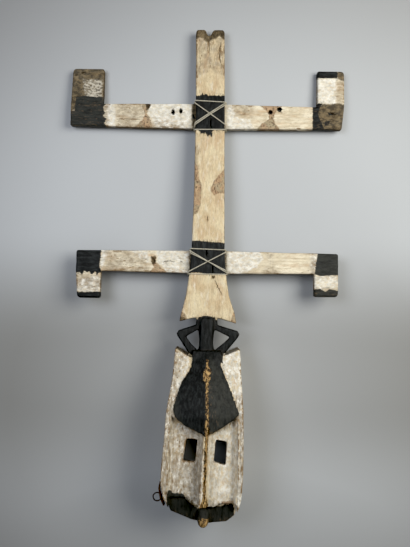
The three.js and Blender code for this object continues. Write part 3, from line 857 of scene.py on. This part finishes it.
def painted_zone(tree, name, coordinates, ragged, size, soft=0.35):
    """A mask that is 1 inside a marked zone. Its edge wanders by some mm, in lumps of a size."""
    reach = add(tree, "Attribute", out="Fac", attribute_name=name)
    lumps = add(tree, "TexNoise", {"Vector": coordinates, "Scale": 1 / size, "Detail": 4.0,
                                   "Roughness": 0.65})
    # lumps of the middle value, 0.5, leave the edge in its place
    moved = add(tree, "Math", {0: lumps, 1: 4.0 * ragged, 2: reach}, operation="MULTIPLY_ADD")
    return add(tree, "MapRange", {"Value": moved, "From Min": 2 * ragged - soft,
                                  "From Max": 2 * ragged + soft})


def spots(tree, coordinates, size, start, end, detail=3.0, roughness=0.6):
    """A mask of blotches of a size in mm: 0 where the noise is under start, 1 over end."""
    lumps = add(tree, "TexNoise", {"Vector": coordinates, "Scale": 1 / size, "Detail": detail,
                                   "Roughness": roughness})
    return add(tree, "MapRange", {"Value": lumps, "From Min": start, "From Max": end})


def layered(tree, ground, *coats):
    """Colours laid over a ground, one after the other. Each coat is (where it lies, its colour)."""
    for share, paint in coats:
        under, over = [colour(c) if isinstance(c, str) else c for c in (ground, paint)]
        ground = add(tree, "Mix", {"Factor": share, "A": under, "B": over}, data_type="RGBA")
    return ground


def cream_ground(tree, mm, grain, brush, light, deep):
    """Cream earth paint from light to deep, with warmer and greyer clouds, and runs along the
    grain."""
    clouds = spots(tree, mm, 34, 0.38, 0.64)
    warm = spots(tree, brush, 16, 0.5, 0.72)
    runs = spots(tree, grain, 5, 0.5, 0.8, 4.0)
    light_runs = spots(tree, brush, 6, 0.54, 0.74, 4.0)
    fuzz = spots(tree, brush, 2.6, 0.46, 0.66, 5.0, 0.75)
    fuzz = add(tree, "Math", {0: fuzz, 1: 0.42}, operation="MULTIPLY")
    return layered(tree, light, (clouds, deep), (warm, "#CDB08C"), (runs, "#BDA888"),
                   (light_runs, "#E8DEC8"), (fuzz, "#A39274"))


def brown_patches(tree, surface, mm, brush, daub):
    """Patches where wood shows through a thin wash that dried darker at its rim."""
    wash = spots(tree, brush, 5, 0.35, 0.65, 5.0, 0.7)
    ashy = spots(tree, mm, 22, 0.45, 0.62)
    flecks = spots(tree, daub, 3.4, 0.53, 0.61, 4.0, 0.7)
    patch = layered(tree, "#C8A884", (wash, "#A08164"), (ashy, "#A5977B"), (flecks, "#4F3B2B"))
    bare_zone = painted_zone(tree, "bare", brush, 2.5, 6, soft=0.8)
    bare_share = add(tree, "Math", {0: bare_zone, 1: 0.9}, operation="MULTIPLY")
    inner_part = painted_zone(tree, "bare", brush, 2.5, 6, soft=4.5)
    rim = add(tree, "Math", {0: 1.0, 1: inner_part}, operation="SUBTRACT")
    rim = add(tree, "Math", {0: rim, 1: bare_zone}, operation="MULTIPLY")
    rim_breaks = spots(tree, mm, 8, 0.42, 0.6, 4.0)
    rim = add(tree, "Math", {0: rim, 1: rim_breaks}, operation="MULTIPLY", use_clamp=True)
    return layered(tree, surface, (bare_share, patch), (rim, "#5F4C38"))


def smoke_and_shade_paint(tree, surface, mm, daub, chalk_zone):
    """Smoked and greasy paint, mottled grey brown and dark brown, and ashy on the chalk. On the
    planks' edges beside the board it is painted shadow as well as dirt.
    """
    mottle = spots(tree, daub, 7, 0.38, 0.58, 5.0, 0.7)
    ash = spots(tree, daub, 5, 0.42, 0.56, 5.0, 0.7)
    ash = add(tree, "Math", {0: ash, 1: chalk_zone}, operation="MULTIPLY")
    smoke_and_shade_colour = layered(tree, "#7B6B50", (mottle, "#2B231A"), (ash, "#CBC3B1"))
    # smoke stains, and painted shadow on the planks beside the board
    smoke_and_shade_zone = painted_zone(tree, "smoke_and_shade", mm, 3, 8, soft=1.5)
    smoke_and_shade_share = add(tree, "Math", {0: smoke_and_shade_zone, 1: 0.92}, operation="MULTIPLY")
    return layered(tree, surface, (smoke_and_shade_share, smoke_and_shade_colour))


def soot_black(tree, surface, brush, edge, thin_and_lit_zone, black_zone):
    """Soot and plant resin, brushed on: rubbed grey in strokes, dusty where it is thin, and brown
    where it is worn through. On the right half of the forehead the dusty grey is painted light, for
    the side that faces the light. Specks of it lie just outside its outlines."""
    strokes = spots(tree, brush, 5, 0.45, 0.7, 5.0, 0.7)
    # dust where the paint is thin, and painted light on the right half of the forehead
    dust_and_painted_light = spots(tree, brush, 6, 0.3, 0.6, 5.0, 0.7)
    dust_and_painted_light = add(tree, "Math", {0: dust_and_painted_light, 1: thin_and_lit_zone}, operation="MULTIPLY")
    worn = spots(tree, brush, 3.2, 0, 1, 5.0, 0.72)
    rubbed_zone = painted_zone(tree, "rubbed", brush, 3, 7, soft=4)
    for place, more in ((edge, 0.16), (rubbed_zone, 0.13)):
        worn = add(tree, "Math", {0: place, 1: more, 2: worn}, operation="MULTIPLY_ADD")
    worn = add(tree, "MapRange", {"Value": worn, "From Min": 0.69, "From Max": 0.8})
    soot = layered(tree, "#0E0F10", (strokes, "#2F3232"), (dust_and_painted_light, "#353632"), (worn, "#5F5140"))
    depth = add(tree, "Attribute", out="Fac", attribute_name="black")
    nearby = add(tree, "MapRange", {"Value": depth, "From Min": -8.0, "From Max": 1.0})
    specks = spots(tree, brush, 2.4, 0.54, 0.62, 4.0, 0.7)
    specks = add(tree, "Math", {0: specks, 1: nearby}, operation="MULTIPLY")
    return layered(tree, surface, (specks, "#453C32"), (black_zone, soot))


def worn_crests(tree, surface, mm, brush, pores):
    """Tan wood, still fresh, on the crests, dotted with dark pores."""
    fresh = spots(tree, brush, 4, 0.38, 0.62, 4.0)
    fresh = layered(tree, "#C9A66E", (fresh, "#6B4F31"), (pores, "#241B13"))
    tan_zone = painted_zone(tree, "tan", mm, 2.2, 4.0, soft=0.5)
    return layered(tree, surface, (tan_zone, fresh))


def painted_wood(name, turn, light, deep):
    """Light, dry savanna wood, carved with an adze and brushed with matt earth paints: a cream
    ground from light to deep, chalk white, and a black that has a faint sheen. The paint is rubbed
    from the edges, has flaked along the grain and holds dirt, so bare brown wood shows through. The
    pattern's y axis is the grain, turned from the frame's y axis by an angle."""
    material, tree = new_material(name)
    mm = in_mm(tree, turn)
    grain, brush, daub = [add(tree, "Mapping", {"Vector": mm, "Scale": (1, share, 1)})
                          for share in (0.07, 0.25, 0.6)]
    edge, cavity, raw, side = [add(tree, "Attribute", out="Fac", attribute_name=wear)
                               for wear in ("edge", "cavity", "raw", "side")]

    # bare wood: grey brown, streaked along the grain
    streaks = spots(tree, grain, 3, 0.3, 0.7, 5.0)
    fibres = spots(tree, grain, 0.9, 0.35, 0.65, 3.0)
    wood = layered(tree, "#8C7256", (streaks, "#5E4833"), (fibres, "#A08866"))

    # chalk white, which lies over the cream in flaky patches
    cream = cream_ground(tree, mm, grain, brush, light, deep)
    chalk_clouds = spots(tree, daub, 8, 0.38, 0.68, 5.0, 0.65)
    chalk = layered(tree, "#F8F4E8", (chalk_clouds, "#BDB6A6"))
    chalk_zone = painted_zone(tree, "white", mm, 5, 11, soft=2.5)
    flakes = spots(tree, daub, 5, 0.36, 0.54, 5.0, 0.7)
    chalk_share = add(tree, "Math", {0: chalk_zone, 1: flakes}, operation="MULTIPLY")

    # thin paint, through which the wood tints it grey brown
    thin_and_lit_zone = painted_zone(tree, "thin_and_lit", mm, 5, 14, soft=5)
    tint = spots(tree, daub, 8, 0.36, 0.64, 5.0, 0.7)
    tint = add(tree, "Math", {0: tint, 1: thin_and_lit_zone}, operation="MULTIPLY")
    tint = add(tree, "Math", {0: tint, 1: 0.8}, operation="MULTIPLY")
    paint = layered(tree, cream, (chalk_share, chalk), (tint, "#988872"))

    # where the light paints are gone: edges, thin zones, narrow sides, and specks along the grain
    rub = spots(tree, brush, 4.5, 0, 1, 5.0, 0.7)
    for place, more in ((edge, 0.3), (thin_and_lit_zone, 0.08), (side, 0.1)):
        rub = add(tree, "Math", {0: place, 1: more, 2: rub}, operation="MULTIPLY_ADD")
    gone = add(tree, "MapRange", {"Value": rub, "From Min": 0.66, "From Max": 0.72})

    # dirt and painted shade on the narrow, steep sides and along their edges
    soil_and_side_shade = spots(tree, brush, 5, 0.3, 0.55, 4.0)
    soil_and_side_shade = add(tree, "Math", {0: soil_and_side_shade, 1: side}, operation="MULTIPLY")
    soil_and_side_shade = add(tree, "Math", {0: soil_and_side_shade, 1: 0.8}, operation="MULTIPLY")

    surface = layered(tree, paint, (gone, wood))
    surface = brown_patches(tree, surface, mm, brush, daub)
    surface = smoke_and_shade_paint(tree, surface, mm, daub, chalk_zone)
    surface = layered(tree, surface, (soil_and_side_shade, "#4A3E30"))
    black_zone = painted_zone(tree, "black", brush, 2.0, 3.0, soft=0.5)
    surface = soot_black(tree, surface, brush, edge, thin_and_lit_zone, black_zone)
    pores = spots(tree, brush, 2.6, 0.48, 0.55, 4.0, 0.7)
    surface = worn_crests(tree, surface, mm, brush, pores)

    # raw wood at the back and in the hollow, dark with handling; dirt in pores, and painted shade
    # that darkens corners and creases
    inner = layered(tree, "#4E3D2C", (streaks, "#2E2319"))
    dirt_and_crease_shade = spots(tree, mm, 2.0, 0.62, 0.7, 2.0, 0.7)
    dirt_and_crease_shade = add(tree, "Math", {0: dirt_and_crease_shade, 1: 0.35}, operation="MULTIPLY")
    # painted shade: concave corners and creases are darkened by how hollow they are, over the dirt
    # specks
    dirt_and_crease_shade = add(tree, "Math", {0: cavity, 1: 0.75, 2: dirt_and_crease_shade}, operation="MULTIPLY_ADD",
                use_clamp=True)
    surface = layered(tree, surface, (raw, inner), (dirt_and_crease_shade, "#33281E"))

    # relief in mm: fibres, the thickness of the paint, and the pores
    relief = add(tree, "Math", {0: fibres, 1: 0.12}, operation="MULTIPLY")
    coat = add(tree, "Math", {0: 1.0, 1: gone}, operation="SUBTRACT")
    for form, height in ((streaks, 0.15), (coat, 0.16), (chalk_share, 0.12), (pores, -0.2)):
        relief = add(tree, "Math", {0: form, 1: height, 2: relief}, operation="MULTIPLY_ADD")
    normal = add(tree, "Bump", {"Height": relief, "Distance": MM, "Strength": 0.9})

    # the earth paints are matt, and the resin in the black gives it its sheen
    sheen = add(tree, "MapRange", {"Value": black_zone, "To Min": 0.9, "To Max": 0.55})
    shader = add(tree, "BsdfPrincipled", {"Base Color": surface, "Roughness": sheen,
                                          "Specular IOR Level": 0.3, "Normal": normal})
    add(tree, "OutputMaterial", {"Surface": shader})
    return material


def baobab_cord(name):
    """Twisted bark fibre, two plies: pale, dry and dusty, with soot rubbed into its grooves."""
    material, tree = new_material(name)
    mm = in_mm(tree)
    blotches = spots(tree, mm, 9, 0.35, 0.65, 4.0)
    soot = spots(tree, mm, 5, 0.6, 0.7, 4.0)
    threads = spots(tree, mm, 0.7, 0.3, 0.7, 2.0)
    fibre = layered(tree, "#DAD5C6", (blotches, "#A9A28E"), (soot, "#6B6455"), (threads, "#C2BBA8"))
    relief = add(tree, "Math", {0: threads, 1: 0.15}, operation="MULTIPLY")
    normal = add(tree, "Bump", {"Height": relief, "Distance": MM})
    shader = add(tree, "BsdfPrincipled", {"Base Color": fibre, "Roughness": 0.9,
                                          "Specular IOR Level": 0.3, "Normal": normal})
    add(tree, "OutputMaterial", {"Surface": shader})
    return material


def rawhide(name):
    """Untanned goat hide, dried hard: dark brown and waxy, lighter where it has been rubbed."""
    material, tree = new_material(name)
    mm = in_mm(tree)
    rubbed = spots(tree, mm, 6, 0.42, 0.7, 4.0)
    hide = layered(tree, "#2A1D13", (rubbed, "#6E4A28"))
    wrinkles = spots(tree, mm, 1.4, 0.3, 0.7, 4.0)
    relief = add(tree, "Math", {0: wrinkles, 1: 0.2}, operation="MULTIPLY")
    normal = add(tree, "Bump", {"Height": relief, "Distance": MM})
    shader = add(tree, "BsdfPrincipled", {"Base Color": hide, "Roughness": 0.55,
                                          "Specular IOR Level": 0.45, "Normal": normal})
    add(tree, "OutputMaterial", {"Surface": shader})
    return material


def forged_iron(name):
    """Hand-forged iron wire under a brown-black skin of old rust, so it has no bright metal."""
    material, tree = new_material(name)
    mm = in_mm(tree)
    rust = spots(tree, mm, 3, 0.42, 0.66, 4.0)
    skin = layered(tree, "#221C19", (rust, "#4A3122"))
    pits = spots(tree, mm, 0.8, 0.35, 0.65)
    relief = add(tree, "Math", {0: pits, 1: 0.12}, operation="MULTIPLY")
    normal = add(tree, "Bump", {"Height": relief, "Distance": MM})
    shader = add(tree, "BsdfPrincipled", {"Base Color": skin, "Roughness": 0.72, "Metallic": 0.35,
                                          "Normal": normal})
    add(tree, "OutputMaterial", {"Surface": shader})
    return material


def soft_oval(tree, place, shift, scale):
    """A shade that is 1 in the middle of an oval on the floor, and fades to 0 at its rim."""
    at = add(tree, "Mapping", {"Vector": place, "Location": shift, "Scale": scale})
    return add(tree, "TexGradient", {"Vector": at}, out="Fac", gradient_type="SPHERICAL")


def studio_paper(name):
    """Matt pale grey background paper, faintly cloudy. It has a painted pool of light round its
    middle and is painted greyer away from it, and a painted shadow darkens a band across it on both
    sides of the face."""
    material, tree = new_material(name)
    place = add(tree, "TexCoord", out="Object")
    cloud = add(tree, "TexNoise", {"Vector": place, "Scale": 3.0})
    # painted light: a pool of light round the middle, fading to grey toward the paper's rim
    middle = soft_oval(tree, place, (-0.09, 0.05, 0), (0.95, 0.95, 1))
    middle = add(tree, "MapRange", {"Value": middle, "From Max": 0.6},
                 interpolation_type="SMOOTHSTEP")
    # painted shadow: a band across the paper on both sides of the face, taken out inside a wide
    # oval
    shadow_band = soft_oval(tree, place, (0, 0.72, 0), (0.3, 2.86, 1))
    shadow_band = add(tree, "MapRange", {"Value": shadow_band, "From Max": 0.8}, interpolation_type="SMOOTHSTEP")
    unshaded_part = soft_oval(tree, place, (-0.1, 0.72, 0), (2.0, 2.2, 1))
    shadow_band = add(tree, "Math", {0: unshaded_part, 1: -0.8, 2: shadow_band}, operation="MULTIPLY_ADD",
               use_clamp=True)
    paper = layered(tree, "#B9BCBE", (cloud, "#BFC2C4"))
    # greyer outside the painted pool of light, and darker in the painted shadow band
    paper = layered(tree, "#919191", (middle, paper), (shadow_band, "#90908E"))
    shader = add(tree, "BsdfPrincipled", {"Base Color": paper, "Roughness": 0.85,
                                          "Specular IOR Level": 0.2})
    add(tree, "OutputMaterial", {"Surface": shader})
    return material


def dress(piece, node, material):
    """Gives a piece its material, and puts it in the place of its CAD node."""
    piece.data.materials.clear()
    piece.data.materials.append(material)
    only(piece)
    bpy.ops.object.shade_smooth()
    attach(piece, "root")
    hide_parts(node)


# Floor, light, camera and film

def floor():
    """Background paper that reaches beyond every view."""
    bpy.ops.mesh.primitive_plane_add(size=9, location=(0, 0, 0))
    paper = bpy.context.object
    paper.name = "floor"
    paper.data.materials.append(studio_paper("pale_background_paper"))


def soft_box(name, place, target, size, spread, power, tint):
    """A window of soft light. Its size is in metres, its spread in degrees, its power in watts."""
    lamp = bpy.data.lights.new(name, "AREA")
    lamp.shape = "RECTANGLE"
    lamp.size, lamp.size_y = size
    lamp.spread = math.radians(spread)
    lamp.energy = power
    lamp.color = colour(tint)[:3]
    box = bpy.data.objects.new(name, lamp)
    box.location = place
    box.rotation_euler = (Vector(target) - Vector(place)).to_track_quat("-Z", "Y").to_euler()
    bpy.context.scene.collection.objects.link(box)


def lights():
    """A large window on the right and a small one on the left, in a dim room."""
    soft_box("window_right", place=(1.1, 0.45, 1.3), target=(0.1, 0.1, 0), size=(1.1, 1.0),
             spread=180, power=27, tint="#FFFDF6")
    soft_box("window_left", place=(-0.8, 0.35, 1.4), target=(-0.1, 0.1, 0), size=(0.8, 0.8),
             spread=120, power=5.8, tint="#F2F6FF")
    world = bpy.data.worlds.new("room")
    world.use_nodes = True
    sky = world.node_tree.nodes["Background"]
    sky.inputs["Color"].default_value = colour("#F2F5F8")
    sky.inputs["Strength"].default_value = 0.1
    bpy.context.scene.world = world


def camera():
    """The photograph's tall view from straight above."""
    lens = bpy.data.cameras.new("view")
    lens.sensor_width = SENSOR
    lens.lens = SENSOR / 2 / math.tan(TALL_VIEW / 2)
    lens.dof.use_dof = False
    eye = bpy.data.objects.new("view", lens)
    eye.location = CAMERA_PLACE
    eye.rotation_euler = (0, 0, CAMERA_ROLL)
    bpy.context.scene.collection.objects.link(eye)
    bpy.context.scene.camera = eye


def film():
    """Tones as they are, only printed so that the deepest shade is black."""
    look = bpy.context.scene.view_settings
    look.view_transform = "Standard"
    look.use_curve_mapping = True
    look.curve_mapping.black_level = (0.014, 0.014, 0.015)
    look.curve_mapping.update()


camera()
lights()
floor()
film()

log_wood = painted_wood("painted_carved_wood", turn=0, light="#E6D6B2", deep="#D3BC96")
plank_wood = painted_wood("painted_plank_wood", turn=math.pi / 2, light="#F5EBD2",
                          deep="#DCCFB3")
cord = baobab_cord("twisted_bark_cord")
dress(mask_and_board(), "mask_and_board", log_wood)
dress(upper_crossbar(), "upper_crossbar", plank_wood)
dress(lower_crossbar(), "lower_crossbar", plank_wood)
dress(upper_lashing(), "upper_lashing", cord)
dress(lower_lashing(), "lower_lashing", cord)
dress(hide_strip(), "hide_strip", rawhide("dried_rawhide"))
dress(wire_ring(), "wire_ring", forged_iron("rusted_forged_iron"))

bpy.context.view_layer.update()
